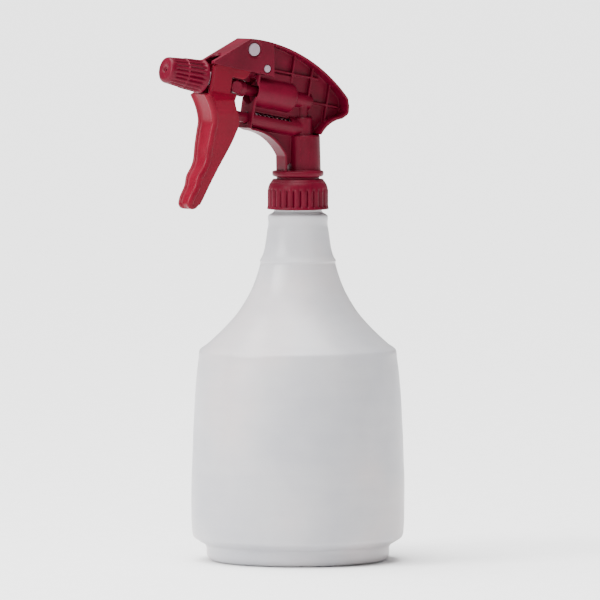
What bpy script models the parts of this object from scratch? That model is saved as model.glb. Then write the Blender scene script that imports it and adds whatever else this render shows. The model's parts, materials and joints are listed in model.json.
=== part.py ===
"""Hand mister: an open-frame trigger sprayer head on a round bottle.

The origin is on the bottle's axis, on the plane that it stands on. The nozzle
points to -X and +Z is up. Sizes below are in millimetres.
"""
import math

import bmesh
import bpy
from mathutils import Matrix, Vector

MM = 0.001

# Bottle
BODY_RADIUS = 56.7
WALL = 1.3
NECK_RADIUS = 12.7
NECK_BORE = 10.9
RIM_Z = 197.7
THREAD_PITCH = 4.23
THREAD_TURNS = 1.5
THREAD_START_Z = 188.9
THREAD_DEPTH = 1.15

# Closure cap
CAP_BOTTOM_Z = 186.3
CAP_TOP_Z = 202.3
CAP_RIBS = 26

# Head: the pump's axis is tilted and crosses the bottle's axis at BARREL_Z
TILT = math.radians(10.5)
BARREL_Z = 244.1
PUMP_OUTER = 7.85
PUMP_BORE = 7.15
PUMP_FRONT = -29.9
PUMP_REAR = -5.0
ROD_RADIUS = 2.9
HEAD_RADIUS = 4.2
SPRING_T = -14.6
SPRING_OUTER = 4.4
RISER_X = 2.7
NECK_X = 3.7
NOZZLE_T = 2.0
DUCT_T = 9.1
WALL_U = -30.8
WEB = 0.9
FLANGE = 1.3
RIB_A_T = 12.7
RIB_PITCH = 12.2
SHROUD_HALF = 7.0
SHROUD_WALL = 1.2
SHROUD_REAR_X = -18.4
PANEL_T = 9.6
SEAM = 0.8
ROOF_SLOPE = 0.38

# Trigger
PIVOT = (-35.85, 21.1)
PIVOT_RADIUS = 3.4
SHAFT_RADIUS = 2.2
EYE_RADIUS = 3.9
PIN_RADIUS = 2.0
SMALL_PIN = (-26.1, 12.45)
CROSS_BAR_U = -42.2
CROSS_BAR_RADIUS = 3.3
CLEAR = 0.3

BARREL = Matrix.Translation((0, 0, BARREL_Z)) @ Matrix.Rotation(TILT, 4, 'Y')


def clear_scene():
    for old in list(bpy.data.objects):
        bpy.data.objects.remove(old, do_unlink=True)


def plastic(name, colour, roughness=0.45, metallic=0.0):
    material = bpy.data.materials.get(name)
    if material is None:
        material = bpy.data.materials.new(name)
        material.use_nodes = True
        shader = material.node_tree.nodes['Principled BSDF']
        shader.inputs['Base Color'].default_value = (*colour, 1)
        shader.inputs['Roughness'].default_value = roughness
        shader.inputs['Metallic'].default_value = metallic
    return material


def red(name):
    return plastic(name + '_red', (0.26, 0.012, 0.03))


def white(name):
    return plastic(name + '_white', (0.62, 0.55, 0.58), 0.6)


def steel(name):
    return plastic(name + '_steel', (0.6, 0.6, 0.62), 0.25, 1.0)


def rubber(name):
    return plastic(name + '_rubber', (0.02, 0.02, 0.022), 0.7)


def to_world(u, t, y=0.0):
    """A point given along and above the pump's axis."""
    return BARREL @ Vector((u, y, t))


def xz(u, t):
    point = to_world(u, t)
    return point.x, point.z


def make(name, verts, faces, frame=None):
    """A mesh object from points in millimetres, placed by an optional frame."""
    frame = frame or Matrix.Identity(4)
    mesh = bpy.data.meshes.new(name)
    mesh.from_pydata([tuple((frame @ Vector(v)) * MM) for v in verts], [], faces)
    solid = bmesh.new()
    solid.from_mesh(mesh)
    bmesh.ops.remove_doubles(solid, verts=solid.verts, dist=1e-7)
    bmesh.ops.recalc_face_normals(solid, faces=solid.faces)
    if solid.calc_volume(signed=True) < 0:
        bmesh.ops.reverse_faces(solid, faces=solid.faces)
    solid.to_mesh(mesh)
    solid.free()
    shape = bpy.data.objects.new(name, mesh)
    bpy.context.collection.objects.link(shape)
    return shape


def grid_faces(rows, columns, close_rows):
    faces = []
    for i in range(rows if close_rows else rows - 1):
        for j in range(columns):
            k = (j + 1) % columns
            n = (i + 1) % rows
            faces.append((i * columns + j, i * columns + k, n * columns + k, n * columns + j))
    return faces


def turn(name, profile, segments=32, frame=None, radius_at=None):
    """A closed turned ring or solid from (radius, z) points in order around its section.

    radius_at(r, z, angle) may change the radius, for ribs and flutes.
    """
    verts = []
    for r, z in profile:
        for j in range(segments):
            angle = 2 * math.pi * j / segments
            rr = radius_at(r, z, j) if radius_at else r
            verts.append((rr * math.cos(angle), rr * math.sin(angle), z))
    closed = profile[0][0] > 1e-6 and profile[-1][0] > 1e-6
    faces = grid_faces(len(profile), segments, closed)
    shape = make(name, verts, faces, frame)
    tidy = bmesh.new()
    tidy.from_mesh(shape.data)
    bmesh.ops.dissolve_degenerate(tidy, edges=tidy.edges, dist=1e-7)
    bmesh.ops.recalc_face_normals(tidy, faces=tidy.faces)
    tidy.to_mesh(shape.data)
    tidy.free()
    return shape


def rod(name, radius, low, high, frame=None, segments=24, x=0.0, y=0.0, top_radius=None):
    """A round bar along the frame's Z."""
    top = radius if top_radius is None else top_radius
    verts = []
    for r, z in ((radius, low), (top, high)):
        for j in range(segments):
            angle = 2 * math.pi * j / segments
            verts.append((x + r * math.cos(angle), y + r * math.sin(angle), z))
    faces = grid_faces(2, segments, False)
    faces.append(tuple(range(segments - 1, -1, -1)))
    faces.append(tuple(range(segments, 2 * segments)))
    return make(name, verts, faces, frame)


def along_barrel(t=0.0):
    """A frame whose Z runs rearward along the barrel, at height t above the pump's axis."""
    return BARREL @ Matrix.Translation((0, 0, t)) @ Matrix.Rotation(math.pi / 2, 4, 'Y')


def across(u, t):
    """A frame whose Z runs along +Y through a point of the barrel's plane."""
    return BARREL @ Matrix.Translation((u, 0, t)) @ Matrix.Rotation(-math.pi / 2, 4, 'X')


def plate(name, outline, low_y, high_y, frame=None):
    """An outline in the X-Z plane, extruded along Y."""
    count = len(outline)
    verts = [(x, low_y, z) for x, z in outline] + [(x, high_y, z) for x, z in outline]
    faces = [tuple(range(count)), tuple(range(2 * count - 1, count - 1, -1))]
    for i in range(count):
        k = (i + 1) % count
        faces.append((i, count + i, count + k, k))
    return make(name, verts, faces, frame)


def loft(name, sections, frame=None):
    """A solid through closed sections with equal counts of points."""
    count = len(sections[0])
    verts = [point for section in sections for point in section]
    faces = grid_faces(len(sections), count, False)
    last = (len(sections) - 1) * count
    faces.append(tuple(range(count - 1, -1, -1)))
    faces.append(tuple(range(last, last + count)))
    return make(name, verts, faces, frame)


def arc(start, middle, end, count):
    """Points on the circle through three points, both ends included."""
    (ax, ay), (bx, by), (cx, cy) = start, middle, end
    d = 2 * (ax * (by - cy) + bx * (cy - ay) + cx * (ay - by))
    a2, b2, c2 = ax * ax + ay * ay, bx * bx + by * by, cx * cx + cy * cy
    ox = (a2 * (by - cy) + b2 * (cy - ay) + c2 * (ay - by)) / d
    oy = (a2 * (cx - bx) + b2 * (ax - cx) + c2 * (bx - ax)) / d
    radius = math.hypot(ax - ox, ay - oy)
    first = math.atan2(ay - oy, ax - ox)
    last = math.atan2(cy - oy, cx - ox)
    inside = math.atan2(by - oy, bx - ox)
    sweep = (last - first) % (2 * math.pi)
    if (inside - first) % (2 * math.pi) > sweep:
        sweep -= 2 * math.pi
    return [(ox + radius * math.cos(first + sweep * i / (count - 1)),
             oy + radius * math.sin(first + sweep * i / (count - 1))) for i in range(count)]


def spline(points, steps):
    """A smooth curve through the points."""
    out = []
    for i in range(len(points) - 1):
        p0 = Vector(points[max(i - 1, 0)])
        p1 = Vector(points[i])
        p2 = Vector(points[i + 1])
        p3 = Vector(points[min(i + 2, len(points) - 1)])
        for k in range(steps):
            s = k / steps
            out.append(tuple(0.5 * ((2 * p1) + (p2 - p0) * s + (2 * p0 - 5 * p1 + 4 * p2 - p3) * s * s
                                    + (3 * p1 - p0 - 3 * p2 + p3) * s ** 3)))
    out.append(tuple(points[-1]))
    return out


def offset(points, distance):
    """The open line moved to its left by the distance."""
    moved = []
    for i, point in enumerate(points):
        before = Vector(points[max(i - 1, 0)])
        after = Vector(points[min(i + 1, len(points) - 1)])
        way = (after - before).normalized()
        moved.append((point[0] - way.y * distance, point[1] + way.x * distance))
    return moved


def apply_boolean(target, tool, operation):
    cut = target.modifiers.new('join', 'BOOLEAN')
    cut.operation = operation
    cut.object = tool
    bpy.context.view_layer.update()
    graph = bpy.context.evaluated_depsgraph_get()
    result = bpy.data.meshes.new_from_object(target.evaluated_get(graph))
    target.modifiers.clear()
    target.data = result
    bpy.data.objects.remove(tool, do_unlink=True)
    return target


def join(target, *tools):
    for tool in tools:
        apply_boolean(target, tool, 'UNION')
    return target


def cut(target, *tools):
    for tool in tools:
        apply_boolean(target, tool, 'DIFFERENCE')
    return target


def finish(shape, material, pivot=None):
    """Sets the material, the smooth shading and the origin."""
    shape.data.materials.clear()
    shape.data.materials.append(material)
    for face in shape.data.polygons:
        face.material_index = 0
    shape.data.shade_smooth()
    shape.data.set_sharp_from_angle(angle=math.radians(35))
    if pivot is not None:
        shape.data.transform(Matrix.Translation(-pivot * MM))
        shape.location = pivot * MM
    return shape


def helix_ridge(name, start_z, inner, outer, root_half, crest_half, grows_out):
    """A screw thread's ridge as one closed solid that fades in at both ends."""
    steps = int(THREAD_TURNS * 28)
    sections = []
    for i in range(steps + 1):
        angle = 2 * math.pi * THREAD_TURNS * i / steps
        z = start_z + THREAD_PITCH * THREAD_TURNS * i / steps
        height = min(1.0, 0.25 + 3.0 * min(i, steps - i) / steps * 2)
        if grows_out:
            root, crest = inner, inner + (outer - inner) * height
        else:
            root, crest = outer, outer - (outer - inner) * height
        section = [(root, -root_half), (crest, -crest_half), (crest, crest_half), (root, root_half)]
        sections.append([(r * math.cos(angle), r * math.sin(angle), z + dz) for r, dz in section])
    return loft(name, sections)


def coil(name, radius, wire, low, high, turns, frame, sides=4, steps_per_turn=11):
    """A compression spring along the frame's Z, with flat-laid end turns."""
    steps = int(turns * steps_per_turn)
    sections = []
    for i in range(steps + 1):
        angle = 2 * math.pi * turns * i / steps
        z = low + wire + (high - low - 2 * wire) * i / steps
        ring = []
        for k in range(sides):
            around = 2 * math.pi * k / sides
            r = radius + wire * math.cos(around)
            ring.append((r * math.cos(angle), r * math.sin(angle), z + wire * math.sin(around)))
        sections.append(ring)
    return loft(name, sections, frame)


# ---------------------------------------------------------------- bottle and closure

def bottle_outside():
    """The outer line from the base's edge up to the neck's rim."""
    foot = [(45.8, 0.0), (47.6, 0.9), (48.5, 2.6), (48.5, 8.0)]
    lower = [(52.0, 10.2), (55.4, 12.9), (56.4, 16.0)]
    body = [(BODY_RADIUS, 24.0), (BODY_RADIUS, 43.0), (55.5, 74.0), (54.0, 97.0), (52.7, 108.0)]
    shoulder = spline([(51.6, 112.6), (43.5, 119.0), (31.8, 131.7), (24.4, 144.4), (19.9, 157.0)], 2)
    throat = [(17.4, 168.0), (15.9, 178.0), (15.9, 181.8), (14.9, 183.2), (NECK_RADIUS, 184.2)]
    return foot + lower + body + shoulder + throat


def build_bottle():
    outside = bottle_outside()
    inside = offset(outside[4:-1], WALL)
    inside = [(r, z) for r, z in inside if z > 9.0][::2]
    floor = [(0.0, 2.2), (40.0, 2.2), (45.5, 3.6), (47.0, 6.0), (47.2, 8.6)]
    neck_inside = [(NECK_BORE, 181.5), (NECK_BORE, RIM_Z)]
    inside = [point for point in inside if point[0] > NECK_BORE + 0.4]
    base = [(0.0, 0.0), (26.0, 0.0), (28.0, 0.8), (41.0, 0.8), (43.0, 0.0)]
    profile = base + outside + [(NECK_RADIUS, RIM_Z)] + list(reversed(neck_inside))
    profile += list(reversed(inside)) + list(reversed(floor))
    shape = turn('bottle', profile, 36)
    thread = helix_ridge('thread', THREAD_START_Z, NECK_RADIUS - 0.3, NECK_RADIUS + THREAD_DEPTH, 0.85, 0.4, True)
    join(shape, thread)
    return finish(shape, plastic('bottle_hdpe', (0.75, 0.74, 0.76), 0.4))


def cap_rib(r, z, j):
    """Every second column stands proud, except near the top of the cap and inside it."""
    if r < 15.0 or z > 200.0:
        return r
    return r if j % 2 else r - 0.55


def build_closure_cap():
    bore = 14.4
    profile = [(16.2, CAP_BOTTOM_Z), (16.25, CAP_BOTTOM_Z + 0.8), (16.15, 196.4), (15.6, 199.3), (13.9, 201.2)]
    profile += [(13.2, CAP_TOP_Z), (11.8, CAP_TOP_Z), (11.8, 200.9), (bore, 200.9), (bore, CAP_BOTTOM_Z)]
    shape = turn('closure_cap', profile, 2 * CAP_RIBS, radius_at=cap_rib)
    start_z = THREAD_START_Z - THREAD_PITCH / 2
    thread = helix_ridge('thread', start_z, bore - THREAD_DEPTH, bore + 0.3, 0.85, 0.4, False)
    join(shape, thread)
    return finish(shape, red('closure_cap'), Vector((0, 0, CAP_BOTTOM_Z)))


def build_neck_gasket():
    shape = turn('neck_gasket', [(12.5, RIM_Z + 0.2), (12.5, 198.9), (9.3, 198.9), (9.3, RIM_Z + 0.2)], 28)
    return finish(shape, rubber('neck_gasket'))


def build_dip_tube():
    profile = [(2.9, 7.0), (2.9, 219.4), (2.1, 219.4), (2.1, 7.0)]
    shape = turn('dip_tube', profile, 16, Matrix.Translation((RISER_X, 0, 0)))
    return finish(shape, white('dip_tube'))


def build_tube_adapter():
    profile = [(4.0, 206.5), (4.0, 231.0), (3.3, 231.0), (3.3, 226.5), (1.5, 224.0), (1.5, 220.0)]
    profile += [(3.2, 220.0), (3.2, 206.5)]
    shape = turn('tube_adapter', profile, 20, Matrix.Translation((RISER_X, 0, 0)))
    return finish(shape, white('tube_adapter'))


def ball(name, radius, centre, material):
    profile = [(radius * math.sin(math.pi * i / 6), -radius * math.cos(math.pi * i / 6)) for i in range(7)]
    profile[0] = (0.0, -radius)
    profile[-1] = (0.0, radius)
    shape = turn(name, profile, 12, Matrix.Translation(centre))
    return finish(shape, material, centre)


# ---------------------------------------------------------------- frame

def roof_line():
    """The roof's curve from the apex to the tail."""
    return arc((-33.6, 277.2), (0.4, 266.7), (26.2, 244.7), 19)


def tail_line():
    """From the tail's rear edge, under it and down to the neck."""
    under = arc((22.6, 233.9), (14.6, 230.9), (9.7, 225.6), 6)
    return [(26.9, 240.9), (26.7, 236.4)] + under


def front_line():
    """Down the front wall, along the lower arc and down the neck's front."""
    top = xz(WALL_U, 8.6)
    corner = xz(WALL_U, -20.0)
    curve = arc((-31.2, 228.7), (-18.0, 223.2), (-10.9, 214.8), 8)
    return [top, corner] + curve + [(-10.7, 205.4)]


def flange_width(x, z):
    """The flange grows wider from the front to the tail."""
    if x < -29.0 and z > 229.5:
        return 5.9
    if z < 232.0 and x < 0:
        return 5.0
    share = min(max((x + 18.0) / 44.0, 0.0), 1.0)
    return SHROUD_HALF + 2.0 * share


def strip(name, line, thickness, width_at):
    """A flange that follows a line, with its thickness to the line's left."""
    inner = offset(line, thickness)
    sections = []
    for (x, z), (ix, iz) in zip(line, inner):
        half = width_at(x, z)
        sections.append([(x, -half, z), (x, half, z), (ix, half, iz), (ix, -half, iz)])
    return loft(name, sections)


def web_outline():
    """The central web: the whole side area between the roof, the tail, the neck and the front."""
    roof = [point for point in roof_line() if point[0] > SHROUD_REAR_X + 0.6]
    line = roof + tail_line() + list(reversed(front_line()))
    return [(x * 0.985 - 0.1, BARREL_Z + (z - BARREL_Z) * 0.985 if z > 215 else z + 0.4) for x, z in line]


def spine_outline():
    """The web's forward part, which runs under the shroud between the trigger's cheeks."""
    under_roof = offset(shroud_roof(), -(SHROUD_WALL + 0.4))
    rear = [xz(-12.0, 20.0), xz(-12.0, 4.7), xz(-46.0, 4.7), xz(-48.0, 3.0)]
    return [xz(-54.0, 3.0), xz(-54.0, 12.4)] + under_roof[1:] + rear


def build_body_frame():
    roof = [point for point in roof_line() if point[0] > SHROUD_REAR_X + 0.6]
    roof.insert(0, (SHROUD_REAR_X, roof[0][1] + ROOF_SLOPE * (roof[0][0] - SHROUD_REAR_X)))
    rear = roof + tail_line()
    frame = strip('body_frame', rear, -FLANGE, flange_width)
    join(frame, strip('front', front_line(), FLANGE, flange_width))
    join(frame, plate('web', web_outline(), -WEB, WEB))
    join(frame, plate('spine', spine_outline(), -WEB, WEB))
    barrel = along_barrel()
    join(frame, rod('cylinder', PUMP_OUTER, PUMP_FRONT, PUMP_REAR, barrel, 32))
    join(frame, rod('stub', 3.95, PUMP_REAR - 1.5, 7.2, barrel, 20))
    join(frame, rod('housing', SPRING_OUTER + 0.6, -29.4, 2.5, along_barrel(SPRING_T), 20))
    join(frame, plate('duct', [(-31.0, 6.4), (-31.0, 11.3), (-6.2, 11.3), (-6.2, 6.0)], -2.6, 2.6, BARREL))
    join(frame, rod('duct_tube', 2.3, -50.5, -30.0, along_barrel(DUCT_T), 16))
    join(frame, plate('link', [(-50.8, 0.5), (-50.8, 10.2), (-46.9, 10.2), (-46.9, 0.5)], -2.5, 2.5, BARREL))
    join(frame, rod('nozzle_root', 3.8, -57.6, -46.6, along_barrel(NOZZLE_T), 20))
    join(frame, rod('pin_boss', 3.3, -5.4, 5.4, across(*SMALL_PIN), 18))
    join(frame, rod('riser', 2.95, 233.0, 243.6, segments=16, x=RISER_X))
    join(frame, rod('riser_boss', 5.6, 224.0, 234.8, segments=24, x=RISER_X, top_radius=5.4))
    join(frame, rod('neck', 9.1, 204.8, 225.4, segments=28, x=NECK_X, top_radius=8.6))
    rings = [(0.0, 199.2), (12.6, 199.2), (12.6, 200.6), (11.35, 200.6), (11.35, 203.6), (13.0, 203.9)]
    rings += [(13.65, 204.6), (13.65, 206.0), (13.1, 206.7), (0.0, 206.7)]
    join(frame, turn('rings', rings, 32))
    for t, low, high in ((RIB_A_T, -20.0, 9.5), (0.0, 5.0, 24.6)):
        long_rib = [(low, t - 0.5), (low, t + 0.5), (high, t + 0.5), (high, t - 0.5)]
        join(frame, plate('rib', long_rib, -3.1, 3.1, BARREL))
    for index, (low, high) in enumerate(((6.5, 22.0), (3.0, 17.6), (-13.0, 10.6))):
        u = -7.7 + RIB_PITCH * index
        cross = [(u - 0.5, low), (u - 0.5, high), (u + 0.5, high), (u + 0.5, low)]
        join(frame, plate('cross_rib', cross, -3.1, 3.1, BARREL))
    cut(frame, rod('pump_bore', PUMP_BORE, PUMP_FRONT - 2, PUMP_REAR - 1.6, barrel, 32))
    cut(frame, rod('inlet_bore', 1.9, PUMP_REAR - 3, 4.9, barrel, 12))
    cut(frame, rod('outlet_bore', 1.0, -49.6, -7.6, along_barrel(DUCT_T), 10))
    cut(frame, rod('outlet_port', 0.7, 6.0, DUCT_T, BARREL @ Matrix.Translation((-9.0, 0, 0)), 9))
    cut(frame, rod('link_bore', 0.8, 1.5, DUCT_T, BARREL @ Matrix.Translation((-48.3, 0, 0)), 9))
    cut(frame, rod('nozzle_socket', 2.95, -60.0, -51.6, along_barrel(NOZZLE_T), 16))
    cut(frame, rod('nozzle_feed', 1.1, -52.6, -47.7, along_barrel(NOZZLE_T), 10))
    cut(frame, rod('spring_bore', 3.9, -28.4, -1.2, along_barrel(SPRING_T), 20))
    cut(frame, rod('plunger_hole', 3.1, -32.0, -27.0, along_barrel(SPRING_T), 20))
    window = [(-27.6, SPRING_T + 2.2), (-27.6, SPRING_T + 5.4), (-4.6, SPRING_T + 5.4), (-4.6, SPRING_T + 2.2)]
    cut(frame, plate('spring_window', window, -9.0, -WEB - 0.1, BARREL))
    cut(frame, rod('riser_bore', 1.6, 228.0, 243.2, segments=11, x=RISER_X))
    cut(frame, rod('stem_hollow', 8.6, 197.0, 204.6, segments=24))
    cut(frame, rod('neck_hollow', 7.1, 203.5, 223.6, segments=24, x=NECK_X))
    join(frame, rod('tube_socket', 5.3, 205.5, 224.8, segments=20, x=RISER_X))
    cut(frame, rod('adapter_bore', 4.3, 198.0, 231.6, segments=20, x=RISER_X))
    cut(frame, rod('pivot_hole', SHAFT_RADIUS + CLEAR, -3, 3, across(*PIVOT), 20))
    cut(frame, rod('pin_hole', PIN_RADIUS + CLEAR, -8, 8, across(*SMALL_PIN), 16))
    return finish(frame, red('body_frame'))


def shroud_roof():
    """The shroud's outer line from its front edge over the apex to its rear edge."""
    curve = [point for point in roof_line() if point[0] < SHROUD_REAR_X - 0.6]
    rear_x = SHROUD_REAR_X - SEAM
    return [xz(-59.8, 10.9)] + curve + [(rear_x, curve[-1][1] - ROOF_SLOPE * (rear_x - curve[-1][0]))]


def build_front_shroud():
    line = shroud_roof()
    rear = (line[-1][0], xz(-19.0, PANEL_T)[1])
    outline = line + [rear, xz(-59.8, PANEL_T)]
    shape = plate('front_shroud', outline, -SHROUD_HALF, SHROUD_HALF)
    roof = offset(line, -SHROUD_WALL)
    first, last = roof[0], roof[-1]
    low = BARREL_Z - 20.0
    hollow = [(first[0] - 8.0, first[1] - 6.0)] + roof + [(last[0] + 8.0, last[1] - 3.0)]
    hollow += [(last[0] + 8.0, low), (first[0] - 8.0, low)]
    inner = SHROUD_HALF - SHROUD_WALL
    cut(shape, plate('hollow', hollow, -inner, inner))
    notch = [(-64.0, 5.0), (-64.0, 17.0), (-55.0, 17.0), (-55.0, 5.0)]
    cut(shape, plate('notch', notch, -4.2, 4.2, BARREL))
    cut(shape, rod('pivot_hole', PIVOT_RADIUS + CLEAR, -9, 9, across(*PIVOT), 24))
    cut(shape, rod('pin_hole', PIN_RADIUS + CLEAR, -9, 9, across(*SMALL_PIN), 20))
    return finish(shape, red('front_shroud'))


def build_pins():
    end = SHROUD_HALF - 0.2
    neck = SHROUD_HALF - SHROUD_WALL + 0.15
    profile = [(0.0, -end), (PIVOT_RADIUS, -end), (PIVOT_RADIUS, -neck), (SHAFT_RADIUS, -neck), (SHAFT_RADIUS, neck),
               (PIVOT_RADIUS, neck), (PIVOT_RADIUS, end), (0.0, end)]
    finish(turn('trigger_pivot_pin', profile, 24, across(*PIVOT)), white('trigger_pivot_pin'))
    small = rod('shroud_pin', PIN_RADIUS, -end, end, across(*SMALL_PIN), 20)
    finish(small, white('shroud_pin'))


# ---------------------------------------------------------------- trigger

# Points (x, z) down the handle's front and rear, and the top of its side walls.
TRIGGER_FRONT = [(-61.8, 245.9), (-60.2, 242.4), (-58.9, 238.5), (-58.3, 233.9), (-59.2, 229.6), (-60.9, 221.2),
                 (-61.9, 214.4), (-63.4, 210.4), (-66.6, 205.4), (-68.0, 200.2), (-71.0, 194.8), (-72.2, 190.8),
                 (-71.0, 187.9)]
TRIGGER_REAR = [(-44.8, 245.4), (-43.6, 240.5), (-42.2, 236.8), (-41.8, 232.0), (-43.6, 227.5), (-46.6, 221.5),
                (-54.2, 209.0), (-59.0, 200.5), (-63.7, 191.6), (-66.2, 188.2)]
WALL_TOP_Z = 245.2
WALL_LOW_Z = 188.3


def trigger_half(z):
    """Half of the front plate's width, which tapers downward."""
    share = min(max((z - 188.0) / 50.0, 0.0), 1.0)
    return 5.4 + 3.2 * share ** 0.8


def lower_wall(name, side):
    """One side wall of the handle, which follows the taper of the front plate."""
    count = 10
    sections = []
    for i in range(count):
        z = WALL_TOP_Z - (WALL_TOP_Z - WALL_LOW_Z) * i / (count - 1)
        front = follow(TRIGGER_FRONT, z) + 0.8
        rear = max(follow(TRIGGER_REAR, z), front + 2.0)
        outer = side * (trigger_half(z) - 0.5)
        inner = side * (trigger_half(z) - 1.7)
        sections.append([(front, inner, z), (rear, inner, z), (rear, outer, z), (front, outer, z)])
    return loft(name, sections)


def follow(line, z):
    """The x of a line of (x, z) points, ordered downward, at height z."""
    for (x1, z1), (x2, z2) in zip(line, line[1:]):
        if z2 <= z <= z1:
            return x1 + (x2 - x1) * (z1 - z) / (z1 - z2)
    return line[0][0] if z > line[0][1] else line[-1][0]


def build_trigger():
    inner = offset(TRIGGER_FRONT, 1.8)
    sections = []
    for (x, z), (ix, iz) in zip(TRIGGER_FRONT, inner):
        half = trigger_half(z)
        sections.append([(x, -half, z), (x, half, z), (ix, half, iz), (ix, -half, iz)])
    shape = loft('trigger', sections)
    top_t = PANEL_T - 0.1
    u, t = PIVOT
    eye = arc((u - EYE_RADIUS, t - 0.5), (u, t + EYE_RADIUS), (u + EYE_RADIUS, t - 0.5), 8)
    cheek = [(-59.0, -8.0), (-59.0, 8.4), (-58.0, top_t), (-51.5, 10.6), (-42.6, 17.4)] + eye
    cheek += [(-33.5, 15.5), (-35.2, 9.5), (-36.9, 6.0), (-38.8, 4.7),
              (-46.1, 4.7), (-46.1, -4.1), (-41.6, -4.1), (-42.4, -8.0)]
    for side in (-1, 1):
        low, high = sorted((side * 4.2, side * 5.5))
        join(shape, plate('cheek', cheek, low, high, BARREL))
        join(shape, lower_wall('wall', side))
        low, high = sorted((side * 4.2, side * 8.0))
        shelf = [(-59.0, -11.0), (-59.0, -6.6), (-42.7, -6.6), (-42.7, -8.2)]
        join(shape, plate('shelf', shelf, low, high, BARREL))
    head = [(-58.9, -12.0), (-59.4, -7.6), (-57.2, -6.8), (-56.8, -12.0)]
    join(shape, plate('head', head, -8.3, 8.3, BARREL))
    pad = [(-56.6, -13.2), (-56.0, -16.9), (-46.1, -16.9), (-46.1, -11.6)]
    join(shape, plate('pad', pad, -1.6, 1.6, BARREL))
    bar = [(-47.2, -17.0), (-45.5, -17.0), (-44.6, -14.6), (-44.6, -11.4), (-47.2, -11.4)]
    join(shape, plate('bar', bar, -7.0, 7.0, BARREL))
    cut(shape, rod('pivot_hole', SHAFT_RADIUS + CLEAR, -9, 9, across(*PIVOT), 20))
    return finish(shape, red('trigger'), to_world(*PIVOT))


# ---------------------------------------------------------------- pump

def build_piston():
    barrel = along_barrel()
    profile = [(0.0, -45.2), (3.9, -45.2), (HEAD_RADIUS, -44.4), (HEAD_RADIUS, -35.3), (ROD_RADIUS, -34.8),
               (ROD_RADIUS, -26.8), (6.7, -26.8), (6.7, -25.6), (5.7, -25.6), (5.7, -22.4), (6.7, -22.4),
               (6.7, -20.6), (5.2, -20.6), (5.2, -17.6), (5.8, -17.2), (5.8, -16.2), (0.0, -16.2)]
    shape = turn('piston_rod', profile, 24, barrel)
    bar = rod('cross_bar', CROSS_BAR_RADIUS, -5.6, 5.6, across(CROSS_BAR_U, 0.0), 18)
    join(shape, bar)
    finish(shape, red('piston_rod'), to_world(CROSS_BAR_U, 0.0))
    wiper = [(6.9, -25.3), (6.9, -22.7), (6.0, -22.7), (6.0, -25.3)]
    finish(turn('piston_wiper_ring', wiper, 24, barrel), rubber('piston_wiper_ring'))
    cup = [(6.6, -20.3), (6.95, -18.6), (6.95, -15.6), (6.2, -15.6), (6.1, -17.9), (5.5, -17.9), (5.5, -20.3)]
    finish(turn('piston_cup', cup, 24, barrel), white('piston_cup'))


def build_return_spring():
    frame = along_barrel(SPRING_T)
    spring = coil('return_spring', 3.2, 0.38, -24.9, -1.5, 8.5, frame)
    finish(spring, steel('return_spring'))
    plunger = [(0.0, -44.3), (1.3, -44.1), (2.4, -43.2), (2.8, -42.0), (2.8, -28.1), (3.6, -28.1), (3.6, -26.9),
               (0.0, -26.9)]
    finish(turn('spring_plunger', plunger, 20, frame), red('spring_plunger'), to_world(-28.0, SPRING_T))
    cup = [(0.0, -26.6), (3.6, -26.6), (3.6, -25.2), (2.3, -25.2), (2.3, -23.6), (0.0, -23.6)]
    finish(turn('spring_seat_cup', cup, 20, frame), white('spring_seat_cup'), to_world(-25.0, SPRING_T))


# ---------------------------------------------------------------- nozzle

def build_nozzle():
    frame = along_barrel(NOZZLE_T)
    barrel = [(2.65, -57.9), (3.9, -57.9), (3.9, -77.4), (2.6, -77.4), (2.6, -56.0), (1.2, -54.0), (1.2, -51.9),
              (2.65, -51.9)]
    finish(turn('nozzle_barrel', barrel, 20, frame), white('nozzle_barrel'))
    core = [(0.0, -79.6), (1.5, -79.6), (2.3, -78.6), (2.3, -74.6), (1.0, -74.6), (1.0, -72.4), (0.0, -72.4)]
    finish(turn('swirl_core', core, 16, frame), white('swirl_core'))
    ball('outlet_valve_ball', 2.0, to_world(-58.0, NOZZLE_T), steel('outlet_valve_ball'))
    finish(coil('outlet_valve_spring', 1.95, 0.22, -74.2, -60.3, 6, frame, 4, 10), steel('outlet_valve_spring'))
    seal = [(4.15, -75.6), (5.3, -75.6), (5.3, -73.6), (4.15, -73.6)]
    finish(turn('nozzle_seal_ring', seal, 20, frame), rubber('nozzle_seal_ring'))
    outside = [(1.7, -85.4), (6.1, -85.4), (6.75, -84.6), (7.3, -79.0), (7.7, -74.0), (8.1, -73.6), (8.7, -63.2),
               (9.0, -62.8), (9.0, -61.5)]
    inside = [(7.2, -61.5), (6.6, -69.0), (4.5, -69.6), (4.5, -73.3), (5.6, -73.3), (5.6, -75.9), (4.3, -75.9),
              (4.3, -80.4), (0.4, -80.4), (0.4, -84.4), (1.7, -84.6)]

    def flute(r, z, j):
        if r < 7.0 or (z > -63.0 or z < -84.0) or (r < 7.25 and z > -70.0):
            return r
        return r if j % 2 else r - 0.5

    knob = turn('nozzle_knob', outside + inside, 44, frame, flute)
    finish(knob, red('nozzle_knob'), to_world(-61.5, NOZZLE_T))


def main():
    clear_scene()
    build_bottle()
    build_closure_cap()
    build_neck_gasket()
    build_dip_tube()
    build_tube_adapter()
    ball('inlet_valve_ball', 2.9, Vector((RISER_X, 0, 227.25)), steel('inlet_valve_ball'))
    build_body_frame()
    build_front_shroud()
    build_pins()
    build_trigger()
    build_piston()
    build_return_spring()
    build_nozzle()


main()
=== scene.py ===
"""Hand mister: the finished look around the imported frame.

Sizes are in millimetres. The barrel's plane is tilted by TILT about Y and crosses the
bottle's axis at BARREL_Z, as in the frame.
"""
import json
import math

import bmesh
import bpy
from mathutils import Matrix, Vector


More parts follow.
